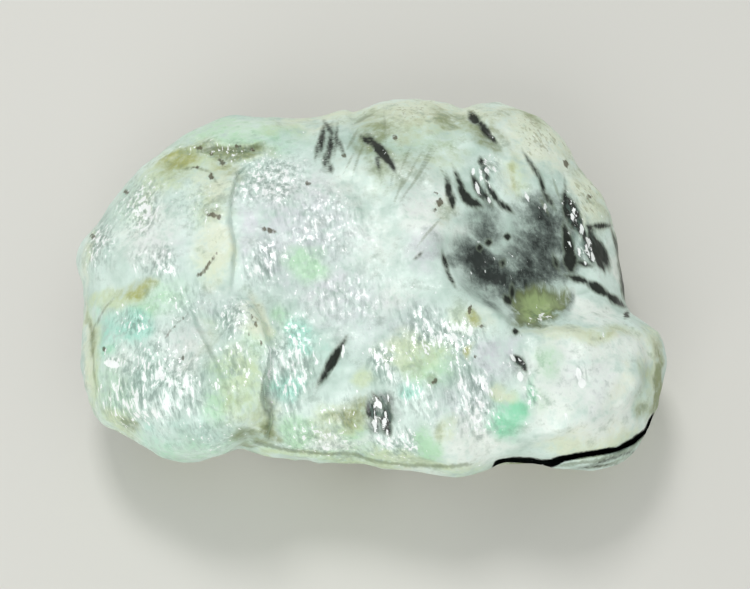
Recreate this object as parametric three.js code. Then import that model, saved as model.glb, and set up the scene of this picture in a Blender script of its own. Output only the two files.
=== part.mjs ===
// A raw jade boulder: one water-worn cobble of jadeite, lying on its widest face.
// Millimetres, +X to the right, +Y away from the viewer, +Z up, origin at the middle of its base.
//
// The stone is laid out as it is seen: its outline and the lines on it are [across, down] places
// in the photograph, and each has a depth along the line of sight, in millimetres.

import * as THREE from "three";
import { mergeVertices } from "three/addons/utils/BufferGeometryUtils.js";

// Driving dimensions.
const LENGTH = 120; // left end to right end, mm
const FRONT_DEPTH = 21.5; // from the outline to the top of the face that is seen, mm
const BACK_DEPTH = 23; // from the outline to the underside, before it is worn flat, mm
const CENTRE_HEIGHT = 18.5; // the outline's centre above the ground, mm
const FACETS_PER_EDGE = 21; // 20 * 22^2 = 9680 triangles

// The line of sight of the photograph.
const SIGHT_ELEVATION = THREE.MathUtils.degToRad(60);
const SIGHT_DISTANCE = 300; // mm
const FRAME_CENTRE = [375, 294.5]; // pixels
const OUTLINE_WIDTH = 590; // pixels, the stone's two ends
const PIXEL = LENGTH / OUTLINE_WIDTH; // mm

// The outline's middle leans back less than the picture does, as the stone lies nearly level.
const LEAN = -0.4;

// The outline, clockwise from its left end.
const OUTLINE_CENTRE = [370, 291];
const OUTLINE = [
  [77, 262], [84, 240], [104, 217], [123, 188], [155, 156], [190, 132], [225, 118], [266, 117],
  [309, 118], [346, 110], [352, 113], [361, 110], [382, 103], [415, 100], [445, 103], [461, 108],
  [472, 105], [500, 104], [533, 115], [563, 139], [579, 168], [601, 192], [613, 222], [619, 258],
  [624, 286], [629, 312], [647, 325], [659, 332], [666, 358], [662, 390], [653, 416], [640, 442],
  [620, 462], [597, 470], [560, 468], [532, 463], [500, 464], [482, 472], [462, 477], [420, 472],
  [385, 469], [355, 462], [315, 462], [250, 450], [239, 448], [222, 454], [190, 461], [160, 456],
  [127, 437], [101, 421], [86, 390], [81, 360], [85, 312], [83, 285],
];

// Broad swells and hollows of the seen face: centre and radii in pixels, turn in degrees
// (anticlockwise), height in mm.
const SWELLS = [
  { at: [168, 388], radii: [88, 72], turn: 0, height: 3.0 }, // lower left lobe
  { at: [180, 225], radii: [80, 62], turn: 40, height: 1.6 }, // upper left lobe
  { at: [255, 128], radii: [60, 20], turn: 0, height: 1.0 }, // back left shoulder
  { at: [400, 190], radii: [95, 75], turn: 20, height: 1.2 }, // white hump behind the middle
  { at: [545, 232], radii: [82, 58], turn: -40, height: -4.4 }, // dark scoop
  { at: [540, 309], radii: [30, 17], turn: 0, height: -2.6 }, // olive pocket
  { at: [592, 385], radii: [82, 55], turn: 8, height: 3.2 }, // right-hand block
  { at: [440, 410], radii: [80, 50], turn: -10, height: 1.4 }, // lower middle
  { at: [381, 413], radii: [12, 18], turn: 10, height: -1.4 }, // pit with a dark crystal
  { at: [520, 361], radii: [9, 10], turn: -40, height: -1.2 }, // small black pit
  { at: [582, 238], radii: [12, 42], turn: 24, height: 1.6 }, // dark glassy ridge
];

// Ledges: the ground on the left of the path, as it is followed, stands higher. Path in pixels,
// height, half width of the slope and reach of the raised ground in mm.
const LEDGES = [
  {
    // right-hand edge of the upper left plate
    path: [[229, 300], [232, 275], [234, 250], [229, 222], [231, 195], [238, 172], [262, 156]],
    height: 1.6, width: 0.7, reach: 9,
  },
  {
    // right-hand edge of the lower left plate
    path: [[222, 462], [246, 450], [266, 438], [270, 420], [264, 398], [268, 372], [272, 350],
      [264, 325], [250, 302], [228, 293]],
    height: 2.7, width: 1.1, reach: 12,
  },
  {
    // crease under the upper left lobe
    path: [[165, 262], [140, 284], [112, 300], [98, 316], [92, 350]],
    height: 1.2, width: 0.9, reach: 6,
  },
  {
    // back left shoulder above the stained groove
    path: [[150, 172], [178, 153], [212, 146], [250, 147], [285, 134], [300, 120]],
    height: 1.4, width: 0.9, reach: 8,
  },
  {
    // lower left wall of the dark scoop
    path: [[528, 336], [514, 322], [494, 306], [468, 288], [448, 262], [436, 238]],
    height: 2.6, width: 1.2, reach: 10,
  },
  {
    // top, right and lower edges of the right-hand block
    path: [[508, 447], [556, 437], [600, 426], [628, 405], [642, 382], [646, 358], [638, 338],
      [600, 328], [555, 327], [520, 332]],
    height: 2.0, width: 1.1, reach: 7,
  },
  {
    // leaf-shaped slit, in the shade of its left-hand side
    path: [[310, 400], [320, 387], [334, 362], [345, 340]],
    height: 1.5, width: 0.7, reach: 4,
  },
  {
    // step at the back right, above the black patch
    path: [[626, 232], [604, 226], [588, 232], [572, 205], [562, 186]],
    height: -1.5, width: 0.8, reach: 5,
  },
];

// Cracks and creases: path in pixels, depth and half width in mm.
const CRACKS = [
  {
    // open parting under the right-hand block
    path: [[497, 465], [520, 459], [548, 458], [575, 453], [603, 446], [624, 440], [641, 424],
      [652, 404]],
    depth: 4.5, width: 0.7,
  },
  { path: [[351, 108], [345, 124], [331, 140], [326, 162]], depth: 0.9, width: 0.9 },
  { path: [[461, 102], [474, 116], [492, 142], [508, 152]], depth: 1.2, width: 0.9 },
  { path: [[443, 246], [447, 266], [455, 290]], depth: 0.8, width: 0.7 },
  { path: [[264, 446], [310, 452], [355, 452], [400, 462], [460, 466]], depth: 0.7, width: 0.7 },
  { path: [[562, 298], [590, 293], [622, 305]], depth: 0.8, width: 0.7 },
];

// Long, crossing waves of the whole surface: direction of travel, wavelength and height in mm,
// and where each starts, in radians.
const WAVES = [
  { along: [0.94, 0.3, 0.17], length: 47, height: 0.55, start: 0.6 },
  { along: [-0.38, 0.86, 0.34], length: 33, height: 0.45, start: 2.1 },
  { along: [0.55, -0.41, 0.73], length: 24, height: 0.32, start: 4.4 },
  { along: [0.21, 0.66, -0.72], length: 15, height: 0.22, start: 1.3 },
];

// Small lumps between them: size, height, and how far and in what length their rows sway, in mm.
const LUMPS = { length: 13, height: 0.5, sway: 2.6, swayLength: 29 };

// Faces worn on the hidden sides: outward direction, and distance from the middle of the picture
// plane in mm.
const FACES = [
  { out: [0.3, 0.78, -0.55], distance: 41.5 }, // back
  { out: [-0.62, 0.58, -0.53], distance: 47.5 }, // back left
  { out: [0.86, 0.24, -0.45], distance: 48.5 }, // right end
  { out: [-0.88, -0.2, -0.43], distance: 53.5 }, // left end
  { out: [-0.25, -0.74, -0.62], distance: 36.8 }, // front left
  { out: [0.48, -0.62, -0.62], distance: 45.5 }, // front right
].map(({ out, distance }) => ({ out: new THREE.Vector3(...out).normalize(), distance }));
const FACE_EDGE = 2.5; // half width of the rounding along a face's edge, mm

// The stone's layers show as steps on the hidden sides, each set in from the one above it.
const LAYER = 7.5; // mm
const LAYER_STEP = 1.1; // mm
const LAYER_BEND = { length: 52, height: 3 }; // mm
const STEP_SHARE = 0.3; // share of a layer's thickness that its edge takes

// Corners of the surface this near a ledge or a crack are moved onto its brow or its foot.
const GATHER = 1.6; // mm

const toMillimetres = ([across, down]) => [
  (across - FRAME_CENTRE[0]) * PIXEL,
  (FRAME_CENTRE[1] - down) * PIXEL,
];

const smooth = (low, high, x) => THREE.MathUtils.smoothstep(x, low, high);

// How far x is above zero, with its start rounded over `edge` on both sides.
function above(x, edge) {
  if (x > edge) return x;
  if (x < -edge) return 0;
  return (x + edge) ** 2 / (4 * edge);
}

// The outline as a radius in every direction from its centre, rounded between its points by a
// periodic cubic whose slope at each point comes from its two neighbours.
const centre = toMillimetres(OUTLINE_CENTRE);
const corners = OUTLINE.map(toMillimetres)
  .map(([x, y]) => ({
    angle: Math.atan2(y - centre[1], x - centre[0]),
    radius: Math.hypot(x - centre[0], y - centre[1]),
  }))
  .sort((p, q) => p.angle - q.angle);

function cornerAt(index) {
  const count = corners.length;
  const turns = Math.floor(index / count);
  const corner = corners[index - turns * count];
  return { angle: corner.angle + turns * 2 * Math.PI, radius: corner.radius };
}

function slopeAt(index) {
  const before = cornerAt(index - 1);
  const after = cornerAt(index + 1);
  return (after.radius - before.radius) / (after.angle - before.angle);
}

function outlineRadius(bearing) {
  const angle = Math.atan2(Math.sin(bearing), Math.cos(bearing));
  let next = corners.findIndex((corner) => corner.angle > angle);
  if (next < 0) next = corners.length;
  const p = cornerAt(next - 1);
  const q = cornerAt(next);
  const span = q.angle - p.angle;
  const s = (angle - p.angle) / span;
  return (
    p.radius * (1 + 2 * s) * (1 - s) ** 2 +
    slopeAt(next - 1) * span * s * (1 - s) ** 2 +
    q.radius * s * s * (3 - 2 * s) +
    slopeAt(next) * span * s * s * (s - 1)
  );
}

// The same with its notches worn out, for the hidden sides.
const WORN_SPREAD = [-0.32, -0.16, 0, 0.16, 0.32]; // radians
const wornRadius = (angle) =>
  sum(WORN_SPREAD, (turn) => outlineRadius(angle + turn)) / WORN_SPREAD.length;

// Where a place lies beside a path: its distance, positive on the left, how much of the path's
// full effect it gets, which dies away over `fade` mm at both ends, and the way to the left.
function beside(path, x, y, fade) {
  let best = { distance: Infinity };
  let travelled = 0;
  for (let i = 0; i + 1 < path.length; i++) {
    const [ax, ay] = path[i];
    const dx = path[i + 1][0] - ax;
    const dy = path[i + 1][1] - ay;
    const length = Math.hypot(dx, dy);
    const share = ((x - ax) * dx + (y - ay) * dy) / length ** 2;
    const near = THREE.MathUtils.clamp(share, 0, 1);
    const distance = Math.hypot(x - ax - near * dx, y - ay - near * dy);
    if (distance < best.distance) {
      const side = Math.sign(dx * (y - ay) - dy * (x - ax)) || 1;
      const left = [-dy / length, dx / length];
      best = { distance, side, left, travelled: travelled + near * length };
    }
    travelled += length;
  }
  const ends = Math.min(best.travelled, travelled - best.travelled);
  return { distance: best.distance * best.side, strength: smooth(0, fade, ends), left: best.left };
}

const besideLedge = ({ path }, x, y) => beside(path.map(toMillimetres), x, y, 6);
const besideCrack = ({ path }, x, y) => beside(path.map(toMillimetres), x, y, 4);

function swellHeight({ at, radii, turn, height }, x, y) {
  const [cx, cy] = toMillimetres(at);
  const angle = THREE.MathUtils.degToRad(turn);
  const along = (x - cx) * Math.cos(angle) + (y - cy) * Math.sin(angle);
  const across = (y - cy) * Math.cos(angle) - (x - cx) * Math.sin(angle);
  const q = (along / (radii[0] * PIXEL)) ** 2 + (across / (radii[1] * PIXEL)) ** 2;
  return height * Math.exp(-q);
}

function ledgeHeight(ledge, x, y) {
  const { distance, strength } = besideLedge(ledge, x, y);
  const rise = smooth(-ledge.width, ledge.width, distance) - 0.5;
  return ledge.height * strength * rise * Math.exp(-((distance / ledge.reach) ** 2));
}

function crackHeight(crack, x, y) {
  const { distance, strength } = besideCrack(crack, x, y);
  return -crack.depth * strength * Math.exp(-((distance / crack.width) ** 2));
}

const sum = (list, value) => list.reduce((total, item) => total + value(item), 0);

// Relief of the seen face towards the viewer, at a place in the picture plane.
const relief = (x, y) =>
  sum(SWELLS, (swell) => swellHeight(swell, x, y)) +
  sum(LEDGES, (ledge) => ledgeHeight(ledge, x, y)) +
  sum(CRACKS, (crack) => crackHeight(crack, x, y));

const waves = (x, y, depth) =>
  sum(WAVES, ({ along, length, height, start }) => {
    const phase = (along[0] * x + along[1] * y + along[2] * depth) * ((2 * Math.PI) / length);
    return height * Math.sin(phase + start);
  });

function lumps(x, y, z) {
  const turn = (2 * Math.PI) / LUMPS.length;
  const bend = (2 * Math.PI) / LUMPS.swayLength;
  const across = Math.sin((x + LUMPS.sway * Math.sin(bend * y + 1)) * turn);
  const up = Math.sin((y + LUMPS.sway * Math.sin(bend * z + 2)) * turn);
  const near = Math.cos((z + LUMPS.sway * Math.sin(bend * x + 4)) * turn);
  return LUMPS.height * (across * up + up * near + near * across) * 0.5;
}

// A place moved along its way to a nearby ledge's brow or foot, or to a crack's bed or lip.
function gathered(x, y) {
  for (const crack of CRACKS) {
    const { distance, strength, left } = besideCrack(crack, x, y);
    if (Math.abs(distance) > GATHER || strength < 0.3) continue;
    const wanted = Math.abs(distance) < GATHER / 2 ? 0 : Math.sign(distance) * 2 * crack.width;
    return [x + left[0] * (wanted - distance), y + left[1] * (wanted - distance)];
  }
  for (const ledge of LEDGES) {
    const { distance, strength, left } = besideLedge(ledge, x, y);
    if (Math.abs(distance) > GATHER || strength < 0.3) continue;
    const wanted = Math.sign(distance) * ledge.width;
    return [x + left[0] * (wanted - distance), y + left[1] * (wanted - distance)];
  }
  return [x, y];
}

// The picture plane's own axes in the stone's frame.
const RIGHT = new THREE.Vector3(1, 0, 0);
const UP = new THREE.Vector3(0, Math.sin(SIGHT_ELEVATION), Math.cos(SIGHT_ELEVATION));
const NEARER = new THREE.Vector3(0, -Math.cos(SIGHT_ELEVATION), Math.sin(SIGHT_ELEVATION));

const SEEN_SHARE = 0.64; // share of the facets that the seen face gets
const RIM = 1 - 2 * SEEN_SHARE; // the unit sphere's latitude that becomes the outline
const SEEN_FULLNESS = 2.7; // 2 is an ellipsoid, more is boxier
const BACK_FULLNESS = 3.2;
const GATHERED_SPREAD = 0.93; // near the rim the corners stay where they are

// Lines of sight meet at the viewer, so what is nearer spans less for the same picture.
function placed(x, y, z) {
  const narrowing = 1 - z / SIGHT_DISTANCE;
  return new THREE.Vector3()
    .addScaledVector(RIGHT, x * narrowing)
    .addScaledVector(UP, y * narrowing)
    .addScaledVector(NEARER, z);
}

// A point of the seen face, at an angle about the outline's centre and a share of the way out.
function seenPoint(angle, spread) {
  const radius = spread * outlineRadius(angle);
  const x = centre[0] + radius * Math.cos(angle);
  const y = centre[1] + radius * Math.sin(angle);
  const plan = spread < GATHERED_SPREAD ? gathered(x, y) : undefined;
  const [gx, gy] = plan ?? [x, y];
  const round = Math.sqrt(Math.max(0, 1 - spread ** SEEN_FULLNESS));
  const z = LEAN * gy + FRONT_DEPTH * round + relief(gx, gy);
  const point = placed(gx, gy, z + (waves(gx, gy, z) + lumps(gx, gy, z)) * round);
  return { point, plan };
}

// A point of the hidden sides; `share` runs from 0 on the outline to 1 under the stone.
function hiddenPoint(angle, spread, share) {
  const worn = smooth(0.05, 0.5, share);
  const radius = outlineRadius(angle) * (1 - worn) + wornRadius(angle) * worn;
  const round = Math.sqrt(Math.max(0, 1 - spread ** BACK_FULLNESS));
  let x = centre[0] + spread * radius * Math.cos(angle);
  let y = centre[1] + spread * radius * Math.sin(angle);
  const rim = relief(x, y) * (1 - smooth(0, 0.25, share));
  let z = LEAN * y - BACK_DEPTH * round + rim;
  z -= (waves(x, y, z) + lumps(x, y, z)) * round;

  const bend = LAYER_BEND.height * Math.sin(((x + y) * 2 * Math.PI) / LAYER_BEND.length);
  const level = (z + bend) / LAYER;
  const within = level - Math.floor(level); // 0 at a layer's foot, 1 at its top
  const set = smooth(0, STEP_SHARE, within) - smooth(STEP_SHARE, 1, within);
  const inset = LAYER_STEP * (1 - set) * smooth(0.12, 0.45, share) * smooth(0.3, 0.7, spread);
  x -= inset * Math.cos(angle);
  y -= inset * Math.sin(angle);

  const point = placed(x, y, z);
  const pressed = smooth(0.04, 0.3, share);
  for (const { out, distance } of FACES) {
    point.addScaledVector(out, -above(point.dot(out) - distance, FACE_EDGE) * pressed);
  }
  return { point };
}

// A point of the unit sphere, with z towards the viewer, carried onto the stone.
function surfacePoint(direction) {
  const seen = direction.z >= RIM;
  const share = seen ? (direction.z - RIM) / (1 - RIM) : (RIM - direction.z) / (1 + RIM);
  const spread = Math.sqrt(Math.max(0, 1 - share * share));
  const angle = Math.atan2(direction.y / 1.5, direction.x);
  return seen ? seenPoint(angle, spread) : hiddenPoint(angle, spread, share);
}

// The underside is worn flat where it would reach below the ground, with a soft edge.
const WORN_EDGE = 1.6; // mm

const angleAt = (corner, p, q) => {
  const [px, py] = [p[0] - corner[0], p[1] - corner[1]];
  const [qx, qy] = [q[0] - corner[0], q[1] - corner[1]];
  return Math.atan2(px * qy - py * qx, px * qx + py * qy);
};

// Turns the edge between two facets of the seen face where that makes them less thin, so that
// the facets follow a ledge's brow and foot. `facets` hold three corners each, `plans` a place in
// the picture plane for each corner of the seen face.
function settle(facets, plans) {
  const owner = new Map();
  const key = (a, b) => a * plans.length + b;
  const own = (number) =>
    facets[number].forEach((a, k, facet) => owner.set(key(a, facet[(k + 1) % 3]), number));
  facets.forEach((facet, number) => own(number));

  function turned(number, k) {
    const [a, b, c] = [0, 1, 2].map((i) => facets[number][(k + i) % 3]);
    const other = owner.get(key(b, a));
    const d = facets[other].find((corner) => corner !== a && corner !== b);
    const [pa, pb, pc, pd] = [a, b, c, d].map((corner) => plans[corner]);
    if (!pa || !pb || !pc || !pd) return false;
    if (angleAt(pc, pa, pb) + angleAt(pd, pb, pa) < Math.PI + 1e-6) return false;
    if (angleAt(pa, pd, pc) <= 0 || angleAt(pb, pc, pd) <= 0) return false;
    owner.delete(key(a, b));
    owner.delete(key(b, a));
    facets[number] = [a, d, c];
    facets[other] = [d, b, c];
    own(number);
    own(other);
    return true;
  }

  let turns = 1;
  while (turns > 0) {
    turns = 0;
    for (let number = 0; number < facets.length; number++) {
      if ([0, 1, 2].some((k) => turned(number, k))) turns++;
    }
  }
}

function boulderGeometry() {
  const sphere = new THREE.IcosahedronGeometry(1, FACETS_PER_EDGE);
  sphere.deleteAttribute("normal");
  sphere.deleteAttribute("uv");
  const geometry = mergeVertices(sphere, 1e-5);
  const places = geometry.getAttribute("position");
  const plans = [];
  const direction = new THREE.Vector3();
  for (let i = 0; i < places.count; i++) {
    direction.fromBufferAttribute(places, i).normalize();
    const { point, plan } = surfacePoint(direction);
    places.setXYZ(i, point.x, point.y, above(point.z + CENTRE_HEIGHT, WORN_EDGE));
    plans.push(plan);
  }
  const corners = Array.from(geometry.index.array);
  const facets = [];
  while (corners.length > 0) facets.push(corners.splice(0, 3));
  settle(facets, plans);
  geometry.setIndex(facets.flat());
  geometry.computeBoundingBox();
  const middle = geometry.boundingBox.getCenter(new THREE.Vector3());
  geometry.translate(-middle.x, -middle.y, 0);
  geometry.computeVertexNormals();
  return geometry;
}

const jade = new THREE.MeshStandardMaterial({ color: 0xc9d8cf, roughness: 0.32, metalness: 0 });

const boulder = new THREE.Mesh(boulderGeometry(), jade);
boulder.name = "boulder";

const stone = new THREE.Group();
stone.add(boulder);

export default stone;
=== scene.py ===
# A raw jade boulder: a hand-sized, water-worn cobble of jadeite, wet and lit from behind.
#
# The imported model gives the stone's size and place. This script gives it a fine surface of the
# same shape, the jade's own colours, inclusions and grain, painted highlights and painted shade on
# its crystals, ledges and open parting, and a plain studio.

import math

import bpy
import numpy as np
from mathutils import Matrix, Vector


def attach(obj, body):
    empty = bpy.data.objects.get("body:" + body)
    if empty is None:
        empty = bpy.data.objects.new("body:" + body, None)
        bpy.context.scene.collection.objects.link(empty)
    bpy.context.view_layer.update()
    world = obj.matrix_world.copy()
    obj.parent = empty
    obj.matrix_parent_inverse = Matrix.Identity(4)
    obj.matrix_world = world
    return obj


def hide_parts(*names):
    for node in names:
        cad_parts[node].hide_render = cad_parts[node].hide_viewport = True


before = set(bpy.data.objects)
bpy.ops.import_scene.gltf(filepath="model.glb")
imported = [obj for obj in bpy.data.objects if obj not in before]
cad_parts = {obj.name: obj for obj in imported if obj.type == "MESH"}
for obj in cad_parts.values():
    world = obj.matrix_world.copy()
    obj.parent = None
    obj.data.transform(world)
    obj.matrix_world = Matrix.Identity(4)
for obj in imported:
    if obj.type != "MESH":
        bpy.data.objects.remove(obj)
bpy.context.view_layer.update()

MM = 0.001  # metres

# The line of sight of the photograph. Places on the stone are [across, down] pixels in it.
SIGHT_ELEVATION = math.radians(60)
SIGHT_DISTANCE = 300  # mm
PICTURE_WIDTH = 750
SENSOR_WIDTH = 36  # mm
FLOOR_REACH = 2  # metres each way
FRAME_CENTRE = (375, 294.5)
OUTLINE_WIDTH = 590
LENGTH = 120  # mm
PIXEL = LENGTH / OUTLINE_WIDTH  # mm

# How the stone stands before and behind its outline, in mm.
FRONT_DEPTH = 21.5
BACK_DEPTH = 23
CENTRE_HEIGHT = 18.5
LEAN = -0.4  # how far the outline's middle leans back, as a slope
SEEN_FULLNESS = 2.7  # 2 is an ellipsoid, more is boxier
BACK_FULLNESS = 3.2
WORN_EDGE = 1.6

CUTS = 98  # 20 * 99 * 99 = 196,020 triangles
SEEN_SHARE = 0.72  # share of the triangles that the seen face gets
SEEN_CROWDING = 1.6  # 2 spreads them as on a ball, 1 evenly over the picture
SLIMNESS = 1.5  # the outline's length over its width

# Where the features of the hidden sides come in, as shares of the way from the outline round to
# the back's middle, and where the layers end, as a share of the way out from that middle.
WORN_IN = (0.05, 0.5)
PRESSED_IN = (0.04, 0.3)
LAYERS_IN = (0.12, 0.45)
LAYERS_OUT = (0.3, 0.7)
SEEN_FADE = (0, 0.25)  # where the seen face's colours and relief end
WEAR_TURNS = (-0.32, -0.16, 0, 0.16, 0.32)  # radians; the hidden outline is a mean over these

OUTLINE_CENTRE = (370, 291)
OUTLINE = [
    (77, 262), (84, 240), (104, 217), (123, 188), (155, 156), (190, 132), (225, 118), (266, 117),
    (309, 118), (346, 110), (352, 113), (361, 110), (382, 103), (415, 100), (445, 103), (461, 108),
    (472, 105), (500, 104), (533, 115), (563, 139), (579, 168), (601, 192), (613, 222), (619, 258),
    (624, 286), (629, 312), (647, 325), (659, 332), (666, 358), (662, 390), (653, 416), (640, 442),
    (620, 462), (597, 470), (560, 468), (532, 463), (500, 464), (482, 472), (462, 477), (420, 472),
    (385, 469), (355, 462), (315, 462), (250, 450), (239, 448), (222, 454), (190, 461), (160, 456),
    (127, 437), (101, 421), (86, 390), (81, 360), (85, 312), (83, 285),
]

# Swells and hollows of the seen face: centre, radii (pixels), turn (degrees), height (mm).
SWELLS = [
    ((168, 388), (88, 72), 0, 3.0),  # lower left lobe
    ((180, 225), (80, 62), 40, 1.6),  # upper left lobe
    ((255, 128), (60, 20), 0, 1.0),  # back left shoulder
    ((400, 190), (95, 75), 20, 1.2),  # white hump behind the middle
    ((545, 232), (82, 58), -40, -4.4),  # dark scoop
    ((540, 309), (30, 17), 0, -2.6),  # olive pocket
    ((592, 385), (82, 55), 8, 3.2),  # right-hand block
    ((440, 410), (80, 50), -10, 1.4),  # lower middle
    ((381, 413), (12, 18), 10, -1.4),  # pit with a dark crystal
    ((520, 361), (9, 10), -40, -1.2),  # small black pit
    ((582, 238), (12, 42), 24, 1.6),  # dark glassy ridge
]

# Ledges: the ground on the left of the path stands higher. Path (pixels), height, half width and
# reach (mm).
LEDGES = [
    ([(229, 300), (232, 275), (234, 250), (229, 222), (231, 195), (238, 172), (262, 156)],
     1.6, 0.35, 9),
    ([(222, 462), (246, 450), (266, 438), (270, 420), (264, 398), (268, 372), (272, 350),
      (264, 325), (250, 302), (228, 293)], 2.8, 0.5, 12),
    ([(232, 400), (222, 378), (208, 348), (196, 322), (190, 300)], 1.1, 0.4, 6),
    ([(165, 262), (140, 284), (112, 300), (98, 316), (92, 350)], 1.2, 0.9, 6),
    ([(150, 172), (178, 153), (212, 146), (250, 147), (285, 134), (300, 120)], 1.8, 0.8, 8),
    ([(528, 336), (514, 322), (494, 306), (468, 288), (448, 262), (436, 238)], 2.6, 1.2, 10),
    ([(508, 447), (556, 437), (600, 426), (628, 405), (642, 382), (646, 358), (638, 338),
      (600, 328), (555, 327), (520, 332)], 2.0, 1.1, 7),
    ([(310, 400), (320, 387), (334, 362), (345, 340)], 1.5, 0.7, 4),
    ([(626, 232), (604, 226), (588, 232), (572, 205), (562, 186)], -1.5, 0.8, 5),
]

# How far from their ends the paths fade in, in mm.
LEDGE_FADE, CRACK_FADE, LINE_FADE = 6, 4, 2

# The open parting: path and half width (pixels). It is carved in, and its near-black colour is
# painted shade inside the crack.
PARTING = [
    ([(490, 469), (499, 463), (510, 461), (530, 461), (548, 463), (566, 461)], 3.4),
    ([(545, 462), (570, 457), (596, 453), (618, 449), (634, 441), (646, 430), (654, 412)], 2.6),
]

# Cracks and creases: path (pixels), depth and half width (mm).
CRACKS = [
    (PARTING[0][0], 3.2, 0.75),
    (PARTING[1][0], 3.6, 0.5),
    ([(351, 108), (345, 124), (331, 140), (326, 162)], 0.9, 0.9),
    ([(461, 102), (474, 116), (492, 142), (508, 152)], 1.2, 0.9),
    ([(443, 246), (447, 266), (455, 290)], 0.8, 0.7),
    ([(264, 446), (310, 452), (355, 452), (400, 462), (460, 466)], 0.7, 0.7),
    ([(562, 298), (590, 293), (622, 305)], 0.8, 0.7),
]

# Long, crossing waves: direction of travel, wavelength and height (mm), start (radians).
WAVES = [
    ((0.94, 0.3, 0.17), 47, 0.55, 0.6),
    ((-0.38, 0.86, 0.34), 33, 0.45, 2.1),
    ((0.55, -0.41, 0.73), 24, 0.32, 4.4),
    ((0.21, 0.66, -0.72), 15, 0.22, 1.3),
]
LUMP_LENGTH, LUMP_HEIGHT, LUMP_SWAY, LUMP_SWAY_LENGTH = 13, 0.5, 2.6, 29  # mm

# Faces worn on the hidden sides: outward direction, and distance in mm.
FACES = [
    ((0.3, 0.78, -0.55), 41.5),
    ((-0.62, 0.58, -0.53), 47.5),
    ((0.86, 0.24, -0.45), 48.5),
    ((-0.88, -0.2, -0.43), 53.5),
    ((-0.25, -0.74, -0.62), 36.8),
    ((0.48, -0.62, -0.62), 45.5),
]
FACE_EDGE = 2.5  # mm

# The stone's layers show as steps on the hidden sides.
LAYER, LAYER_STEP, STEP_SHARE = 7.5, 1.1, 0.3
LAYER_BEND_LENGTH, LAYER_BEND = 52, 3  # mm

# How the surface is roughened, in mm. The real crystals are about 0.2 mm wide, too fine to show,
# so all of the grain is drawn two to five times as wide.
DENT_SIZE, DENT_HEIGHT = 5, 1.3
CRYSTAL_SIZE, CRYSTAL_HEIGHT = 1.1, 0.08
SUGAR_HEIGHT = 0.24  # how much taller the crystals are where the surface is sugary
CRYSTAL_SLIMNESS = 0.4  # width over length
BASE_FADE = (0.2, 2.5)  # the heights above the worn base at which the relief starts and is full

# The grain of the colours and the glitter.
GRAIN_LEAN = math.radians(12)  # to the left of upright, as it is seen
GRAIN_SLIMNESS = 0.28  # width over length
CELL_WIDTH = 0.55  # mm; the tilted crystals

# Patches are torn at their edges by noise: its size (mm) and how far it moves them (pixels).
TEAR_SIZE, TEAR = 6, 28
PATCH_EDGE = (1.6, 0.2)  # a patch grows from nothing to full between these, in radii
HIDDEN_EDGE = (-0.06, 0.1)  # the same on the hidden sides, in noise from 0 to 1

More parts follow.
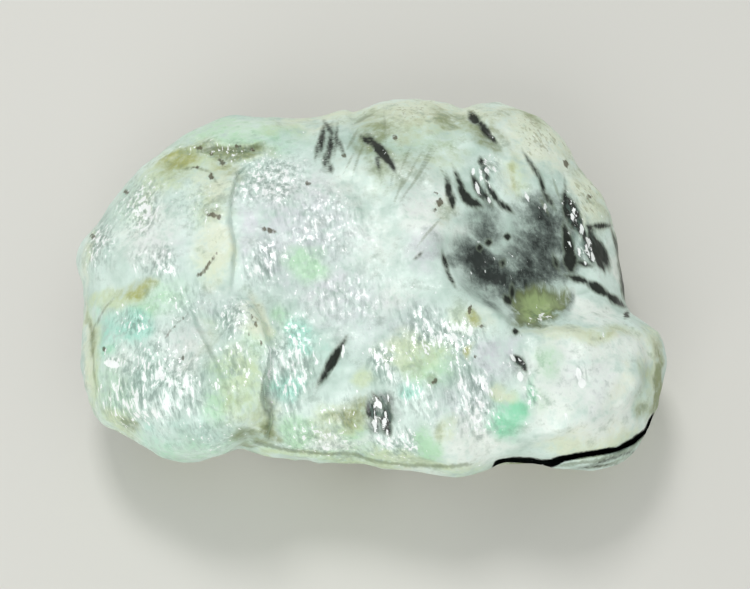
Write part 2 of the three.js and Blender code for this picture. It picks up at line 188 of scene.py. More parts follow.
# Colour patches of the seen face: centre, radii (pixels), turn (degrees, clockwise), strength.
PATCHES = {
    # milk-white jade
    "milk": [
        ((552, 388), (34, 50), 0, 1.0), ((590, 350), (60, 15), 0, 1.0),
        ((602, 425), (52, 16), -8, 1.0), ((475, 440), (44, 24), 0, 1.0),
        ((372, 240), (30, 38), 0, 0.55), ((425, 215), (28, 34), 20, 0.8),
        ((592, 309), (36, 13), 20, 1.0), ((330, 442), (50, 14), 0, 0.8),
        ((150, 228), (34, 40), 20, 0.8), ((240, 128), (62, 11), 0, 0.7),
        ((455, 240), (14, 26), 0, 0.5), ((120, 350), (20, 34), 0, 0.6),
        ((215, 250), (18, 36), 0, 0.8), ((330, 290), (24, 30), 0, 0.5),
        ((300, 190), (50, 20), 0, 0.5), ((550, 150), (30, 20), 40, 0.6),
        ((500, 130), (24, 14), 0, 0.5), ((390, 300), (24, 22), 0, 0.6),
        ((178, 360), (26, 36), 0, 0.6), ((616, 270), (5, 22), -12, 1.0),
        ((638, 345), (16, 18), 0, 1.0), ((600, 388), (34, 30), 0, 1.0),
        ((630, 408), (14, 18), 0, 1.0), ((240, 320), (12, 22), 0, 0.6),
    ],
    # grey-violet jade
    "lavender": [
        ((300, 235), (62, 70), 10, 0.7), ((345, 300), (50, 40), 0, 0.6),
        ((500, 358), (26, 26), 0, 0.75), ((470, 400), (40, 34), 0, 0.5),
        ((598, 388), (34, 34), 0, 0.4), ((560, 372), (40, 30), 0, 0.4),
        ((395, 330), (60, 40), 0, 0.45), ((190, 345), (26, 34), 0, 0.5),
        ((215, 300), (24, 18), 0, 0.45), ((420, 185), (40, 50), 20, 0.3),
        ((165, 245), (40, 30), 0, 0.4), ((328, 280), (22, 24), 0, 0.8),
        ((246, 232), (10, 36), 0, 0.8), ((418, 250), (22, 28), 0, 0.8),
    ],
    # pale green jade
    "green": [
        ((309, 262), (20, 17), 0, 1.0), ((284, 321), (14, 13), 0, 0.7),
        ((432, 364), (28, 22), 10, 0.8), ((429, 443), (18, 20), 0, 1.15),
        ((548, 364), (13, 20), 0, 0.6), ((352, 428), (22, 20), 0, 0.8),
        ((236, 388), (32, 30), 0, 0.7), ((150, 300), (42, 22), -20, 0.6),
        ((108, 349), (9, 9), 0, 0.9), ((330, 455), (90, 12), 3, 0.6), ((190, 448), (70, 12), 0, 0.5),
        ((110, 400), (26, 50), -20, 0.5), ((130, 205), (26, 34), 35, 0.35),
        ((240, 132), (70, 16), 0, 0.7), ((255, 345), (18, 26), 0, 0.6),
        ((415, 140), (60, 30), 0, 0.35), ((590, 440), (50, 10), -8, 0.3),
        ((455, 470), (40, 8), 0, 0.4), ((540, 400), (12, 20), 0, 0.4),
        ((296, 432), (22, 20), 0, 0.9), ((216, 408), (20, 18), 0, 0.8),
    ],
    # blue-green jade
    "mint": [
        ((132, 328), (26, 22), 0, 1.0), ((108, 335), (22, 28), 0, 0.6),
        ((300, 337), (19, 19), 0, 1.1), ((287, 388), (19, 16), 0, 0.9),
        ((411, 390), (15, 11), 0, 0.8), ((330, 350), (30, 24), 0, 0.3),
        ((200, 432), (60, 24), 0, 0.3), ((152, 438), (34, 13), 24, 0.35),
        ((160, 370), (40, 34), 0, 0.3), ((270, 140), (40, 16), 0, 0.3),
    ],
    # the strongest green
    "emerald": [
        ((512, 414), (19, 23), 10, 1.0), ((532, 394), (6, 18), 10, 0.7),
        ((505, 397), (14, 10), 0, 0.4),
    ],
    # pale yellow-green jade of the rims and hollows
    "moss": [
        ((242, 388), (30, 46), 0, 0.8), ((207, 335), (12, 34), 0, 0.4),
        ((118, 298), (34, 10), -24, 0.9), ((90, 360), (9, 60), 0, 1.0),
        ((114, 426), (28, 12), 35, 0.9), ((348, 416), (30, 16), 0, 1.1),
        ((420, 355), (40, 18), 5, 0.9), ((458, 318), (16, 22), 0, 0.6),
        ((180, 165), (46, 22), -22, 1.0), ((222, 149), (52, 13), 0, 0.9),
        ((150, 190), (14, 34), 35, 0.5), ((400, 462), (90, 9), 3, 0.9),
        ((300, 455), (60, 7), 0, 0.8), ((654, 372), (13, 52), 3, 0.9), ((590, 332), (66, 8), 0, 0.8),
        ((595, 441), (52, 10), -9, 0.8), ((420, 118), (70, 20), 0, 0.8),
        ((540, 128), (40, 16), 30, 0.7), ((595, 196), (14, 36), -25, 0.8),
        ((215, 200), (26, 36), 10, 0.7), ((215, 262), (22, 34), 0, 0.7),
        ((88, 250), (9, 30), 0, 0.6), ((520, 178), (14, 30), -8, 0.7),
        ((440, 160), (24, 26), 20, 0.5), ((390, 175), (20, 30), 20, 0.4),
        ((330, 114), (50, 10), 0, 0.7), ((265, 420), (14, 22), 0, 0.9),
        ((506, 392), (14, 8), 15, 1.0), ((325, 425), (20, 14), 0, 0.6),
        ((450, 425), (12, 14), 0, 0.6), ((640, 375), (10, 24), 0, 0.4),
        ((255, 330), (14, 36), -20, 0.5), ((285, 128), (30, 14), 0, 0.6),
        ((362, 378), (14, 14), 0, 0.9),
    ],
    # dry, weathered skin
    "skin": [
        ((215, 250), (15, 40), 4, 0.8), ((222, 186), (20, 28), 10, 0.75),
        ((256, 318), (10, 24), -25, 1.0), ((330, 112), (50, 14), -8, 0.8),
        ((420, 112), (60, 22), 0, 0.9), ((540, 140), (50, 30), 40, 1.0),
        ((590, 200), (40, 22), 60, 1.0), ((485, 108), (40, 14), 10, 0.9),
        ((657, 372), (11, 52), 3, 1.0), ((590, 334), (74, 9), 2, 0.8),
        ((545, 342), (26, 10), 10, 0.3), ((590, 437), (56, 13), -12, 0.7),
        ((478, 318), (18, 22), -20, 0.5), ((84, 350), (9, 62), 0, 0.7),
        ((82, 268), (10, 26), 0, 0.6), ((512, 184), (11, 26), -10, 0.5),
        ((350, 180), (40, 40), 0, 0.3), ((495, 160), (22, 20), 0, 0.4),
        ((195, 350), (22, 34), 0, 0.35), ((110, 180), (14, 40), 40, 0.4),
        ((160, 142), (40, 9), -38, 0.4), ((506, 391), (12, 6), 15, 0.8),
        ((380, 472), (110, 6), 3, 0.5), ((620, 385), (10, 26), 4, 0.6),
    ],
    # yellow iron stain
    "iron": [
        ((179, 161), (19, 13), -30, 1.0), ((136, 286), (20, 9), -28, 0.9),
        ((468, 318), (5, 16), 0, 0.8), ((474, 352), (5, 7), 0, 0.9), ((222, 165), (16, 9), 0, 0.5),
        ((640, 370), (8, 24), 0, 0.3), ((516, 176), (4, 18), -8, 0.5), ((439, 205), (8, 14), 0, 0.3),
        ((446, 424), (5, 8), 0, 0.5), ((604, 331), (24, 5), 2, 0.4), ((350, 414), (16, 10), 0, 0.6),
    ],
    # olive stain
    "olive": [
        ((228, 149), (34, 8), -3, 1.15), ((353, 410), (22, 15), -15, 0.85),
        ((657, 386), (10, 40), 6, 1.4), ((656, 352), (8, 16), 0, 0.5), ((590, 332), (62, 4), 1, 0.2),
        ((269, 432), (8, 9), 0, 0.9), ((129, 431), (10, 6), 35, 0.8),
        ((376, 138), (18, 22), 30, 0.9), ((488, 132), (22, 13), 50, 0.8),
        ((388, 160), (16, 24), 50, 0.7), ((450, 121), (24, 11), 0, 0.8),
        ((435, 380), (7, 7), 0, 0.5), ((180, 172), (22, 12), 0, 0.4), ((232, 402), (20, 14), 0, 0.3),
        ((472, 118), (8, 10), 40, 0.6), ((405, 124), (46, 16), 0, 0.4),
        ((438, 150), (26, 22), 0, 0.35), ((500, 112), (34, 9), 10, 0.4),
        ((410, 165), (26, 30), 30, 0.5), ((575, 165), (9, 24), -30, 0.4),
        ((216, 212), (13, 14), 0, 0.45), ((250, 441), (18, 8), 0, 0.8), ((88, 334), (5, 26), 0, 0.7),
        ((440, 212), (12, 14), 0, 0.5), ((605, 205), (8, 20), -20, 0.4),
        ((534, 121), (22, 9), 30, 0.7),
    ],
    # dark clouds of the scoop
    "smoke": [
        ((487, 272), (42, 21), 36, 1.5), ((536, 270), (38, 20), 0, 1.25),
        ((538, 236), (28, 30), 0, 1.35), ((482, 224), (26, 20), 20, 0.6),
        ((509, 285), (32, 11), 30, 1.4), ((563, 226), (15, 26), -10, 0.9),
        ((422, 250), (28, 26), 0, 0.3), ((505, 264), (48, 22), 0, 0.8),
        ((476, 223), (22, 18), 0, 0.85), ((458, 264), (14, 12), 30, 1.0),
        ((570, 214), (11, 15), -20, 1.3), ((538, 212), (20, 14), 40, 0.8),
        ((506, 306), (6, 14), -20, 0.6), ((566, 303), (8, 14), 0, 0.55),
        ((524, 279), (26, 11), 0, 1.6), ((575, 262), (16, 20), 20, 0.8),
        ((381, 414), (15, 19), 0, 0.9), ((344, 346), (10, 24), 32, 0.35),
        ((520, 368), (18, 18), 0, 0.35),
    ],
    # the olive-green crystal of the pocket
    "pocket": [
        ((524, 306), (15, 20), 0, 1.3), ((537, 306), (16, 20), 0, 1.5),
        ((552, 304), (15, 18), 0, 1.1), ((537, 308), (21, 17), 0, 2.0),
    ],
}

NEVER = 2  # a level that noise from 0 to 1 doesn't reach
FAR_OUTSIDE = -6.0  # pixels; the depth of a place that no mark is near

# The same kinds of patches on the hidden sides: size (mm), share of the surface, seed.
HIDDEN_PATCHES = {
    "milk": (17, 0.35, 41), "lavender": (22, 0.4, 31), "green": (15, 0.35, 32),
    "mint": (13, 0.22, 33), "emerald": (11, 0.1, 34), "moss": (19, 0.45, 40),
    "skin": (26, 0.6, 35), "iron": (14, 0.2, 36), "olive": (12, 0.25, 37),
    "smoke": (24, 0.22, 38), "pocket": (10, 0, 39), "sugar": (16, 0.4, 42),
}

# Dark inclusions: centre, half length and half width (pixels), turn (degrees, clockwise).
SHARDS = [
    ((381, 151), 22, 5.5, 52), ((391, 163), 10, 3.5, 62), ((378, 163), 10, 2.2, 80),
    ((367, 140), 9, 3, 30), ((322, 140), 15, 3.2, 98), ((330, 146), 21, 2.8, 96),
    ((336, 138), 13, 1.8, 95), ((325, 160), 8, 2.6, 95), ((331, 168), 5, 2.4, 80),
    ((317, 150), 9, 1.8, 100), ((341, 146), 11, 1.6, 70), ((328, 128), 9, 2.4, 60),
    ((474, 118), 9, 4.5, 50), ((485, 130), 14, 4, 55), ((492, 138), 8, 2.8, 50),
    ((481, 162), 6, 3, 80), ((484, 169), 6, 3, 90), ((487, 177), 5, 2.5, 75),
    ((449, 191), 17, 3.6, 80), ((452, 200), 10, 4, 85), ((461, 186), 19, 3, 66),
    ((467, 198), 15, 5, 50), ((474, 202), 10, 4, 35), ((478, 187), 17, 4, 65),
    ((486, 196), 12, 3, 60), ((493, 194), 17, 3.2, 60), ((502, 205), 10, 3, 45),
    ((508, 208), 8, 2.2, 40), ((533, 168), 17, 2, 62), ((541, 183), 14, 2.4, 72),
    ((548, 200), 12, 2.4, 55), ((566, 200), 16, 1.8, 86), ((572, 214), 24, 8, 68),
    ((577, 222), 15, 6, 72), ((568, 246), 24, 5.5, 78), ((570, 260), 13, 7, 85),
    ((588, 246), 22, 4.8, 74), ((596, 248), 25, 6, 70), ((604, 254), 18, 4.6, 70),
    ((600, 263), 11, 4, 58), ((600, 226), 12, 3, -2), ((590, 228), 6, 3, 30),
    ((616, 246), 20, 1.6, 76), ((623, 282), 22, 2.2, 80), ((578, 279), 14, 3.6, 18),
    ((598, 289), 16, 5, 32), ((615, 300), 14, 4.5, 34), ((584, 264), 9, 3, 20),
    ((446, 262), 11, 2.4, 72), ((451, 278), 10, 2, 66), ((507, 300), 7, 4, 60),
    ((512, 292), 9, 2.6, 90), ((556, 262), 8, 2.4, 70), ((516, 331), 3.6, 4, 0),
    ((626, 316), 3.4, 5, 20), ((520, 362), 9, 4.4, 48), ((514, 358), 4, 3, 0),
    ((524, 368), 5, 3, 60), ((372, 411), 11, 6, 70), ((386, 418), 16, 6, 95), ((389, 430), 8, 3, 90),
    ((378, 400), 9, 2.6, 55), ((333, 360), 22, 5, -58), ((325, 374), 14, 3.4, -56),
    ((343, 344), 8, 2, -62), ((418, 256), 5, 1.4, -40), ((503, 263), 5, 3, 110),
    ((489, 242), 4, 4, 0), ((507, 237), 4, 4, 0), ((480, 247), 3.5, 4, 0),
    ((612, 458), 27, 1.4, -19), ((596, 466), 16, 1.0, -6),
]

# Fine dark lines of the same kind.
NEEDLES = [
    ((430, 231), 21, 1.3, -50), ((418, 176), 30, 1.4, -56), ((408, 176), 26, 1.2, -60),
    ((399, 190), 16, 1, -72), ((385, 128), 20, 1, 86), ((358, 158), 20, 1.2, -72),
    ((350, 160), 14, 1, -64), ((405, 160), 18, 1, -66), ((352, 140), 12, 1.6, -60),
    ((362, 118), 12, 1.6, -30), ((392, 178), 8, 1, -80), ((425, 160), 18, 1, -62),
    ((443, 173), 8, 1.2, 60), ((544, 206), 10, 1.4, 60), ((556, 190), 12, 1.2, 70),
]

# Brown marks of iron in the skin.
BROWN_MARKS = [
    ((213, 216), 9, 3, 8), ((219, 218), 5, 3, 0), ((268, 230), 10, 3, 20), ((214, 258), 7, 2, -62),
    ((206, 268), 8, 2.4, -58), ((199, 275), 4, 3, -40), ((254, 321), 8, 2, 65),
    ((250, 331), 6, 1.6, -70), ((262, 344), 5, 2, 50), ((440, 202), 4, 5, 20), ((434, 210), 3, 3, 0),
    ((436, 193), 2.4, 2.4, 0), ((482, 326), 4, 3, 0), ((470, 309), 2.4, 7, 10),
    ((475, 357), 2, 3, 0), ((212, 154), 3, 3, 0), ((251, 150), 4, 2.6, 0), ((222, 162), 7, 3, 40),
    ((211, 176), 3, 4, 0), ((196, 168), 4, 2, 0), ((171, 330), 8, 1.6, -50),
    ((183, 318), 7, 1.6, -48), ((308, 183), 3.4, 3, 0), ((104, 349), 3, 3, 0),
    ((181, 358), 5, 2, -30), ((601, 338), 2.4, 2, 0), ((435, 381), 6, 2.4, -30),
    ((200, 148), 4, 3, 0), ((238, 146), 4, 2.4, 0), ((92, 236), 3, 4, 0), ((126, 192), 3, 3, 0),
    ((590, 196), 4, 3, 0), ((566, 164), 3, 5, -20), ((395, 137), 3, 4, 0), ((344, 155), 3, 4, 0),
]

# Painted highlights: white glints of the light on wet crystal faces, laid in the colour as marks.
PAINTED_GLINTS = [
    ((112, 364), 9, 4.2, 12), ((579, 374), 7, 3.2, 80), ((582, 383), 6, 4.2, 90),
    ((520, 377), 6, 3.4, 80), ((513, 358), 5, 2.2, 65), ((581, 229), 6, 2.4, 80),
    ((588, 241), 7, 2, 78), ((593, 257), 6, 2.2, 85), ((585, 263), 3, 1.6, 70),
    ((572, 218), 5, 2, 80), ((473, 172), 5, 2, 85), ((478, 188), 8, 2.2, 75),
    ((489, 200), 5, 1.8, 75), ((527, 196), 6, 1.8, 70), ((545, 208), 5, 1.8, 80),
    ((379, 404), 6, 2.6, 60), ((384, 424), 7, 2.4, 95), ((343, 352), 8, 2.2, 95),
    ((540, 318), 5, 1.8, 75),
]

# Thin dark seams between the layers, and painted shade under the left plate's ledge and on the
# pocket's left wall: path and half width (pixels).
SEAMS_AND_PAINTED_SHADE = [
    ([(115, 297), (103, 312), (94, 327), (91, 345), (94, 360), (96, 389)], 0.7),
    ([(250, 441), (280, 447), (320, 452), (355, 455), (385, 462), (430, 467), (474, 464)], 1.6),
    ([(556, 466), (600, 460), (630, 449), (648, 430)], 1.6),
    ([(586, 468), (612, 464), (636, 452)], 1.2),
    ([(196, 153), (215, 149), (240, 151), (262, 146)], 2.4),
    ([(611, 226), (619, 250), (623, 278), (627, 306)], 2.2),
    # painted shade under the left plate's ledge
    ([(269, 368), (263, 380), (263, 392), (268, 408), (267, 424), (259, 434)], 1.2),
    ([(178, 171), (196, 168), (210, 172), (222, 190)], 1.0),
    # painted shade on the pocket's left wall, running on as the olive line at the block's upper edge
    ([(510, 300), (516, 318), (530, 326), (552, 325)], 1.4),
]

# Where the wet surface is broken into the sharpest crystals, given as the patches are. It also sets
# where the painted highlights and painted shade of the crystals are laid.
SUGAR = [
    ((142, 206), (24, 28), 35, 1.0), ((157, 260), (22, 18), 30, 0.9),
    ((100, 248), (16, 26), 15, 1.0), ((160, 385), (56, 50), 20, 0.95),
    ((130, 400), (38, 36), 0, 0.9), ((228, 322), (20, 22), 0, 0.9), ((268, 180), (34, 30), 0, 0.9),
    ((270, 264), (24, 26), 20, 1.0), ((290, 370), (28, 56), 5, 0.9), ((240, 365), (22, 30), 0, 0.7),
    ((475, 395), (26, 42), -15, 1.0), ((440, 335), (48, 24), 15, 1.0),
    ((388, 368), (18, 24), 0, 1.0), ((415, 395), (34, 26), 30, 0.7), ((395, 446), (24, 16), 0, 0.9),
    ((320, 440), (50, 20), 10, 0.7), ((340, 415), (20, 30), 30, 0.6), ((210, 425), (50, 26), 0, 0.5),
    ((225, 148), (44, 12), 0, 0.55), ((325, 225), (40, 36), 0, 0.6), ((345, 295), (46, 34), 0, 0.55),
    ((488, 176), (14, 24), 0, 0.9), ((575, 218), (12, 26), -20, 0.7), ((590, 246), (11, 15), 0, 1.2),
    ((519, 368), (12, 14), 0, 0.45), ((580, 377), (7, 12), 0, 0.7), ((380, 414), (16, 20), 0, 0.9),
    ((541, 318), (12, 8), 0, 0.8), ((533, 394), (8, 16), 0, 0.8), ((132, 325), (24, 20), 0, 0.85),
    ((112, 364), (11, 5), 15, 1.0), ((200, 205), (24, 24), 0, 0.5), ((185, 300), (30, 20), 0, 0.5),
]
PATCHES["sugar"] = SUGAR


def linear(hex_colour):
    """An sRGB hex colour as linear red, green, blue and a full alpha."""
    values = [int(hex_colour[i:i + 2], 16) / 255 for i in (1, 3, 5)]
    return tuple(v / 12.92 if v <= 0.04045 else ((v + 0.055) / 1.055) ** 2.4 for v in values) + (1,)


def picture_plane(place):
    """A pixel as mm in the picture plane, which is square to the line of sight."""
    across, down = place
    return (across - FRAME_CENTRE[0]) * PIXEL, (FRAME_CENTRE[1] - down) * PIXEL


def smooth(low, high, x):
    s = np.clip((x - low) / (high - low), 0, 1)
    return s * s * (3 - 2 * s)


def above(x, edge):
    """How far x is above zero, with its start rounded over the edge on both sides."""
    return np.where(x > edge, x, np.where(x < -edge, 0, (x + edge) ** 2 / (4 * edge)))


def outline_radius(bearing):
    """The outline's distance from its centre in each direction, by a periodic cubic."""
    centre = picture_plane(OUTLINE_CENTRE)
    corners = np.array([picture_plane(p) for p in OUTLINE]) - centre
    angle, radius = np.arctan2(corners[:, 1], corners[:, 0]), np.hypot(corners[:, 0], corners[:, 1])
    order = np.argsort(angle)
    angle, radius = angle[order], radius[order]
    turn = 2 * math.pi
    angle = np.concatenate([angle[-2:] - turn, angle, angle[:2] + turn])
    radius = np.concatenate([radius[-2:], radius, radius[:2]])
    slope = np.zeros_like(radius)
    slope[1:-1] = (radius[2:] - radius[:-2]) / (angle[2:] - angle[:-2])
    bearing = np.arctan2(np.sin(bearing), np.cos(bearing))
    i = np.searchsorted(angle, bearing, side="right") - 1
    span = angle[i + 1] - angle[i]
    s = (bearing - angle[i]) / span
    return (
        radius[i] * (1 + 2 * s) * (1 - s) ** 2
        + slope[i] * span * s * (1 - s) ** 2
        + radius[i + 1] * s * s * (3 - 2 * s)
        + slope[i + 1] * span * s * s * (s - 1)
    )


def worn_radius(angle):
    """The same with its notches worn out, for the hidden sides."""
    return sum(outline_radius(angle + turn) for turn in WEAR_TURNS) / len(WEAR_TURNS)


def beside(path, x, y, fade):
    """Signed distance from a path in mm, positive on its left, and the path's strength there."""
    corners = [picture_plane(p) for p in path]
    distance, side, travelled = np.full_like(x, np.inf), np.ones_like(x), np.zeros_like(x)
    start = 0.0
    for (ax, ay), (bx, by) in zip(corners, corners[1:]):
        dx, dy = bx - ax, by - ay
        length = math.hypot(dx, dy)
        near = np.clip(((x - ax) * dx + (y - ay) * dy) / length**2, 0, 1)
        gap = np.hypot(x - ax - near * dx, y - ay - near * dy)
        closer = gap < distance
        distance = np.where(closer, gap, distance)
        side = np.where(closer, np.where(dx * (y - ay) - dy * (x - ax) < 0, -1.0, 1.0), side)
        travelled = np.where(closer, start + near * length, travelled)
        start += length
    return distance * side, smooth(0, fade, np.minimum(travelled, start - travelled))


def from_middle(centre, radii, turn, x, y):
    """Distance from an ellipse's middle, 1 at its edge. The turn is in degrees."""
    c, s = math.cos(math.radians(turn)), math.sin(math.radians(turn))
    along = (x - centre[0]) * c + (y - centre[1]) * s
    across = (y - centre[1]) * c - (x - centre[0]) * s
    return np.hypot(along / radii[0], across / radii[1])


def relief(x, y):
    """Height of the seen face's relief towards the viewer, in mm."""
    height = np.zeros_like(x)
    for centre, radii, turn, tall in SWELLS:
        radii = [r * PIXEL for r in radii]
        height += tall * np.exp(-from_middle(picture_plane(centre), radii, turn, x, y) ** 2)
    for path, tall, width, reach in LEDGES:
        distance, strength = beside(path, x, y, LEDGE_FADE)
        rise = smooth(-width, width, distance) - 0.5
        height += tall * strength * rise * np.exp(-((distance / reach) ** 2))
    for path, deep, width in CRACKS:
        distance, strength = beside(path, x, y, CRACK_FADE)
        height -= deep * strength * np.exp(-((distance / width) ** 2))
    return height


def waves(x, y, z):
    height = np.zeros_like(x)
    for along, length, tall, start in WAVES:
        phase = (along[0] * x + along[1] * y + along[2] * z) * (2 * math.pi / length)
        height += tall * np.sin(phase + start)
    turn, bend = 2 * math.pi / LUMP_LENGTH, 2 * math.pi / LUMP_SWAY_LENGTH
    across = np.sin((x + LUMP_SWAY * np.sin(bend * y + 1)) * turn)
    up = np.sin((y + LUMP_SWAY * np.sin(bend * z + 2)) * turn)
    near = np.cos((z + LUMP_SWAY * np.sin(bend * x + 4)) * turn)
    return height + LUMP_HEIGHT * (across * up + up * near + near * across) * 0.5


RIGHT = np.array([1.0, 0.0, 0.0])
UP = np.array([0.0, math.sin(SIGHT_ELEVATION), math.cos(SIGHT_ELEVATION)])
NEARER = np.array([0.0, -math.cos(SIGHT_ELEVATION), math.sin(SIGHT_ELEVATION)])


def stone_surface(direction):
    """Carries unit directions onto the stone.

    Gives points in mm, the places in the picture that they are seen at, and 1 on the seen face,
    falling to 0 on the hidden sides.
    """
    rim = 1 - 2 * SEEN_SHARE
    seen = direction[:, 2] >= rim
    share = np.where(seen, (direction[:, 2] - rim) / (1 - rim), (rim - direction[:, 2]) / (1 + rim))
    spread = np.sqrt(np.clip(1 - share ** np.where(seen, SEEN_CROWDING, 2), 0, None))
    angle = np.arctan2(direction[:, 1] / SLIMNESS, direction[:, 0])
    worn = np.where(seen, 0, smooth(*WORN_IN, share))
    radius = outline_radius(angle) * (1 - worn) + worn_radius(angle) * worn
    centre = picture_plane(OUTLINE_CENTRE)
    x = centre[0] + spread * radius * np.cos(angle)
    y = centre[1] + spread * radius * np.sin(angle)
    places = np.stack([x / PIXEL + FRAME_CENTRE[0], FRAME_CENTRE[1] - y / PIXEL], axis=1)

    fullness = np.where(seen, SEEN_FULLNESS, BACK_FULLNESS)
    roundness = np.sqrt(np.clip(1 - spread**fullness, 0, None))
    nearness = np.where(seen, 1.0, 1 - smooth(*SEEN_FADE, share))
    thickness = np.where(seen, FRONT_DEPTH, -BACK_DEPTH) * roundness
    z = LEAN * y + thickness + relief(x, y) * nearness
    z = z + waves(x, y, z) * np.where(seen, roundness, -roundness)

    bend = LAYER_BEND * np.sin((x + y) * 2 * math.pi / LAYER_BEND_LENGTH)
    level = (z + bend) / LAYER
    within = level - np.floor(level)
    set_out = smooth(0, STEP_SHARE, within) - smooth(STEP_SHARE, 1, within)
    hidden = np.where(seen, 0, smooth(*LAYERS_IN, share))
    inset = LAYER_STEP * (1 - set_out) * hidden * smooth(*LAYERS_OUT, spread)
    x, y = x - inset * np.cos(angle), y - inset * np.sin(angle)

    narrowing = 1 - z / SIGHT_DISTANCE
    point = np.outer(x * narrowing, RIGHT) + np.outer(y * narrowing, UP) + np.outer(z, NEARER)
    pressed = np.where(seen, 0, smooth(*PRESSED_IN, share))
    for out, distance in FACES:
        out = np.array(out) / np.linalg.norm(out)
        point -= np.outer(above(point @ out - distance, FACE_EDGE) * pressed, out)
    point[:, 2] = above(point[:, 2] + CENTRE_HEIGHT, WORN_EDGE)
    return point, places, nearness


def sphere(cuts):
    """A unit sphere of even triangles: an icosahedron whose edges are split into cuts + 1."""
    g = (1 + math.sqrt(5)) / 2
    corners = np.array([
        (-1, g, 0), (1, g, 0), (-1, -g, 0), (1, -g, 0), (0, -1, g), (0, 1, g),
        (0, -1, -g), (0, 1, -g), (g, 0, -1), (g, 0, 1), (-g, 0, -1), (-g, 0, 1),
    ])
    faces = [
        (0, 11, 5), (0, 5, 1), (0, 1, 7), (0, 7, 10), (0, 10, 11), (1, 5, 9), (5, 11, 4),
        (11, 10, 2), (10, 7, 6), (7, 1, 8), (3, 9, 4), (3, 4, 2), (3, 2, 6), (3, 6, 8),
        (3, 8, 9), (4, 9, 5), (2, 4, 11), (6, 2, 10), (8, 6, 7), (9, 8, 1),
    ]
    steps = cuts + 1
    i, j = np.meshgrid(np.arange(steps + 1), np.arange(steps + 1), indexing="ij")
    inside = i + j <= steps
    number = np.full(i.shape, -1)
    number[inside] = np.arange(inside.sum())
    bi, bj = i[inside] / steps, j[inside] / steps
    upright = [(number[a, b], number[a + 1, b], number[a, b + 1])
               for a in range(steps) for b in range(steps - a)]
    turned = [(number[a + 1, b], number[a + 1, b + 1], number[a, b + 1])
              for a in range(steps - 1) for b in range(steps - 1 - a)]
    grid = np.array(upright + turned)
    points = np.concatenate([
        np.outer(1 - bi - bj, corners[a]) + np.outer(bi, corners[b]) + np.outer(bj, corners[c])
        for a, b, c in faces
    ])
    triangles = np.concatenate([grid + n * inside.sum() for n in range(len(faces))])
    _, first, merged = np.unique(np.round(points, 6), axis=0, return_index=True, return_inverse=True)
    points = points[first]
    return points / np.linalg.norm(points, axis=1)[:, None], merged.reshape(-1)[triangles]


OCTAVE_SHIFT = 7.3  # keeps the lumps of different sizes from lining up


def cloud(point, size, seed, octaves=3):
    """Smooth noise from 0 to 1 whose largest lumps are `size` apart."""
    cells = 32  # the noise repeats after this many lumps
    lattice = np.random.default_rng(seed).random((cells, cells, cells))
    total, weight = np.zeros(len(point)), 0
    for octave in range(octaves):
        p = point * 2**octave / size + OCTAVE_SHIFT * octave
        corner = np.floor(p).astype(int)
        f = p - corner
        f = f * f * (3 - 2 * f)
        value = np.zeros(len(point))
        for n in range(8):
            step = np.array([n & 1, n >> 1 & 1, n >> 2])
            i, j, k = ((corner + step) % cells).T
            value += lattice[i, j, k] * np.prod(np.where(step == 1, f, 1 - f), axis=1)
        total += value / 2**octave
        weight += 1 / 2**octave
    return total / weight


def blots(patches, x, y):
    """How strongly a place in the picture lies in any of the patches, 0 to 1."""
    strongest = np.zeros_like(x)
    for centre, radii, turn, strength in patches:
        inside = smooth(*PATCH_EDGE, from_middle(centre, radii, turn, x, y))
        strongest = np.maximum(strongest, strength * inside)
    return strongest


def depth_inside(marks, x, y):
    """How far inside the nearest of the marks a place lies, in pixels, negative outside.

    The two powers give a mark its pointed ends.
    """
    deepest = np.full_like(x, FAR_OUTSIDE)
    for centre, half_length, half_width, turn in marks:
        c, s = math.cos(math.radians(turn)), math.sin(math.radians(turn))
        along = np.abs((x - centre[0]) * c + (y - centre[1]) * s) / half_length
        across = np.abs((y - centre[1]) * c - (x - centre[0]) * s) / half_width
        deepest = np.maximum(deepest, (1 - along**1.6 - across**1.2) * half_width)
    return deepest


def depth_along(paths, places):
    """How far inside the nearest line a place lies, in pixels, negative outside them all."""
    deepest = np.full(len(places), FAR_OUTSIDE)
    x, y = picture_plane(places.T)
    for path, half_width in paths:
        distance, strength = beside(path, x, y, LINE_FADE)
        deepest = np.maximum(deepest, half_width * strength - np.abs(distance) / PIXEL)
    return deepest


# The stone's fine surface.
direction, triangles = sphere(CUTS)
point, places, nearness = stone_surface(direction)
low, high = point.min(0), point.max(0)
middle = np.array([(low[0] + high[0]) / 2, (low[1] + high[1]) / 2, 0])

# Where each point is looked for among the patches.
torn_x = places[:, 0] + (cloud(point, TEAR_SIZE, 11, 2) - 0.5) * TEAR
torn_y = places[:, 1] + (cloud(point, TEAR_SIZE, 12, 2) - 0.5) * TEAR

# Dents all over, and crystals that stand taller where the surface is sugary. The worn base stays
# flat.
edges = point[triangles]
facing = np.cross(edges[:, 1] - edges[:, 0], edges[:, 2] - edges[:, 0])
normal = np.zeros_like(point)
for corner in range(3):
    np.add.at(normal, triangles[:, corner], facing)
normal /= np.linalg.norm(normal, axis=1)[:, None]
sugar = blots(SUGAR, torn_x, torn_y)
upright = np.stack([point @ RIGHT, point @ UP * CRYSTAL_SLIMNESS, point @ NEARER], axis=1)
crystals = (cloud(upright, CRYSTAL_SIZE, 22, 2) - 0.5) * (CRYSTAL_HEIGHT + SUGAR_HEIGHT * sugar)
dents = (cloud(point, DENT_SIZE, 21) - 0.5) * DENT_HEIGHT
off_base = smooth(*BASE_FADE, point[:, 2])
point += normal * ((dents + crystals) * off_base)[:, None]

stone_mesh = bpy.data.meshes.new("jade_boulder")
stone_mesh.from_pydata(((point - middle) * MM).tolist(), [], triangles.tolist())
stone_mesh.polygons.foreach_set("use_smooth", np.ones(len(triangles), bool))
stone_mesh.update()

